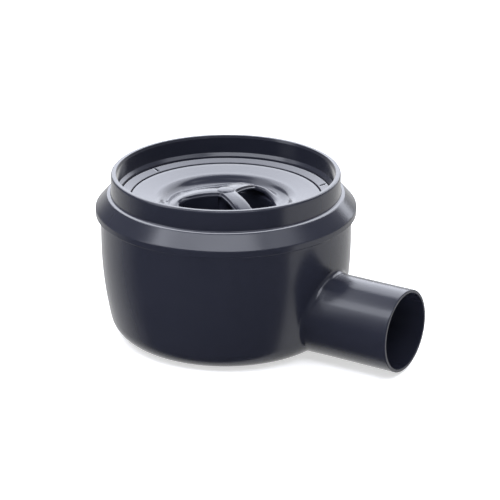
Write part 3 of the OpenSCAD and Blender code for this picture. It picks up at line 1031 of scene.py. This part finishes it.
def studio_world():
    """White to the camera. To the object, low down, it is ROOM_LOW by direction, and higher up ROOM_HIGH."""
    world = bpy.data.worlds.new("studio")
    world.use_nodes = True
    t = world.node_tree
    t.nodes.clear()
    way = node(t, "ShaderNodeSeparateXYZ", {"Vector": node(t, "ShaderNodeTexCoord").outputs["Generated"]})
    turn = node(t, "ShaderNodeMath", {0: way.outputs["Y"], 1: way.outputs["X"]}, operation="ARCTAN2")
    share = node(
        t, "ShaderNodeMapRange", {"Value": turn.outputs[0]}, **{"From Min": -math.pi, "From Max": math.pi}
    )
    low = node(t, "ShaderNodeValToRGB", {"Fac": share.outputs["Result"]})
    ramp = low.color_ramp.elements
    while len(ramp) < len(ROOM_LOW):
        ramp.new(0.5)
    for stop, (angle, level) in zip(ramp, ROOM_LOW):
        stop.position = (angle + 180) / 360
        stop.color = (level, level, level, 1)
    up = node(
        t,
        "ShaderNodeMapRange",
        {"Value": way.outputs["Z"]},
        interpolation_type="SMOOTHSTEP",
        **{"From Min": ROOM_BLEND[0], "From Max": ROOM_BLEND[1]},
    )
    room = node(t, "ShaderNodeMix", {"Factor": up.outputs["Result"]}, data_type="RGBA")
    t.links.new(low.outputs["Color"], room.inputs[MIX_A])
    room.inputs[MIX_B].default_value = (ROOM_HIGH, ROOM_HIGH, ROOM_HIGH, 1)
    room = node(t, "ShaderNodeBackground", {"Color": room.outputs[MIX_RESULT]})
    white = node(t, "ShaderNodeBackground", Color=(1, 1, 1, 1), Strength=1.0)
    camera_switch(t, white, room, "ShaderNodeOutputWorld")
    return world


def softbox(name, turn, rise, far, size, level):
    """Rectangular lamp aimed at LAMP_AIM. A lamp of power P and area A shines P / (pi A) evenly."""
    a, e = math.radians(turn), math.radians(rise)
    place = LAMP_AIM + far * Vector((math.cos(a) * math.cos(e), math.sin(a) * math.cos(e), math.sin(e)))
    lamp = bpy.data.lights.new(name, "AREA")
    lamp.shape, lamp.size, lamp.size_y = "RECTANGLE", size[0], size[1]
    lamp.energy = level * math.pi * size[0] * size[1]
    lamp.color = LAMP_TINT
    o = bpy.data.objects.new(name, lamp)
    o.location = place
    o.rotation_euler = (LAMP_AIM - place).to_track_quat("-Z", "Y").to_euler()
    o.visible_camera = False
    return o


def studio_camera():
    """Long lens that looks down at the part from the front left of its outlet."""
    camera = bpy.data.cameras.new("camera")
    camera.lens, camera.sensor_width = CAMERA_LENS, CAMERA_SENSOR
    camera.clip_start, camera.clip_end = 0.05, 20.0
    o = bpy.data.objects.new("camera", camera)
    forward = CAMERA_WAY.normalized()
    side = forward.cross(Vector((0, 0, 1))).normalized()
    turn = Matrix((side, side.cross(forward), -forward)).transposed().to_4x4()
    o.matrix_world = Matrix.Translation(CAMERA_PLACE) @ turn
    return o


class GULLY_OT_stage(bpy.types.Operator):
    """Set the pale floor, the soft lamps, the white surround and the camera."""

    bl_idname = "gully.stage"
    bl_label = "Studio stage"

    def execute(self, context):
        scene = context.scene
        n = FLOOR_HALF
        mesh = bpy.data.meshes.new("floor")
        mesh.from_pydata([(-n, -n, 0), (n, -n, 0), (n, n, 0), (-n, n, 0)], [], [(0, 1, 2, 3)])
        mesh.materials.append(floor_paint(scene.gully_finish.floor))
        plane = bpy.data.objects.new("floor", mesh)
        plane.location.z = -FLOOR_GAP
        plane.visible_glossy = False
        scene.collection.objects.link(plane)

        scene.world = studio_world()
        for box in SOFTBOXES:
            scene.collection.objects.link(softbox(*box))
        camera = studio_camera()
        scene.collection.objects.link(camera)
        scene.camera = camera
        scene.view_settings.view_transform = "Standard"
        return {"FINISHED"}


class GULLY_PT_panel(bpy.types.Panel):
    """Sizes, colours and pieces of the gully trap."""

    bl_label = "Gully Trap"
    bl_idname = "GULLY_PT_panel"
    bl_space_type = "VIEW_3D"
    bl_region_type = "UI"
    bl_category = "Gully Trap"

    def draw(self, context):
        for group in (context.scene.gully_body, context.scene.gully_trap, context.scene.gully_finish):
            box = self.layout.box()
            for key in group.__annotations__:
                box.prop(group, key)
        for operator in OPERATORS:
            self.layout.operator(operator.bl_idname)


OPERATORS = (GULLY_OT_bowl, GULLY_OT_collar, GULLY_OT_cup, GULLY_OT_funnel, GULLY_OT_seals, GULLY_OT_stage)
GROUPS = (GULLY_PG_body, GULLY_PG_trap, GULLY_PG_finish)
CLASSES = GROUPS + OPERATORS + (GULLY_PT_panel,)


def register():
    for cls in CLASSES:
        bpy.utils.register_class(cls)
    bpy.types.Scene.gully_body = PointerProperty(type=GULLY_PG_body)
    bpy.types.Scene.gully_trap = PointerProperty(type=GULLY_PG_trap)
    bpy.types.Scene.gully_finish = PointerProperty(type=GULLY_PG_finish)


def unregister():
    del bpy.types.Scene.gully_body, bpy.types.Scene.gully_trap, bpy.types.Scene.gully_finish
    for cls in reversed(CLASSES):
        bpy.utils.unregister_class(cls)


def main():
    """Draws every piece and the stage."""
    register()
    bpy.ops.gully.bowl()
    bpy.ops.gully.collar()
    bpy.ops.gully.cup()
    bpy.ops.gully.funnel()
    bpy.ops.gully.seals()
    bpy.ops.gully.stage()


if __name__ == "__main__":
    main()
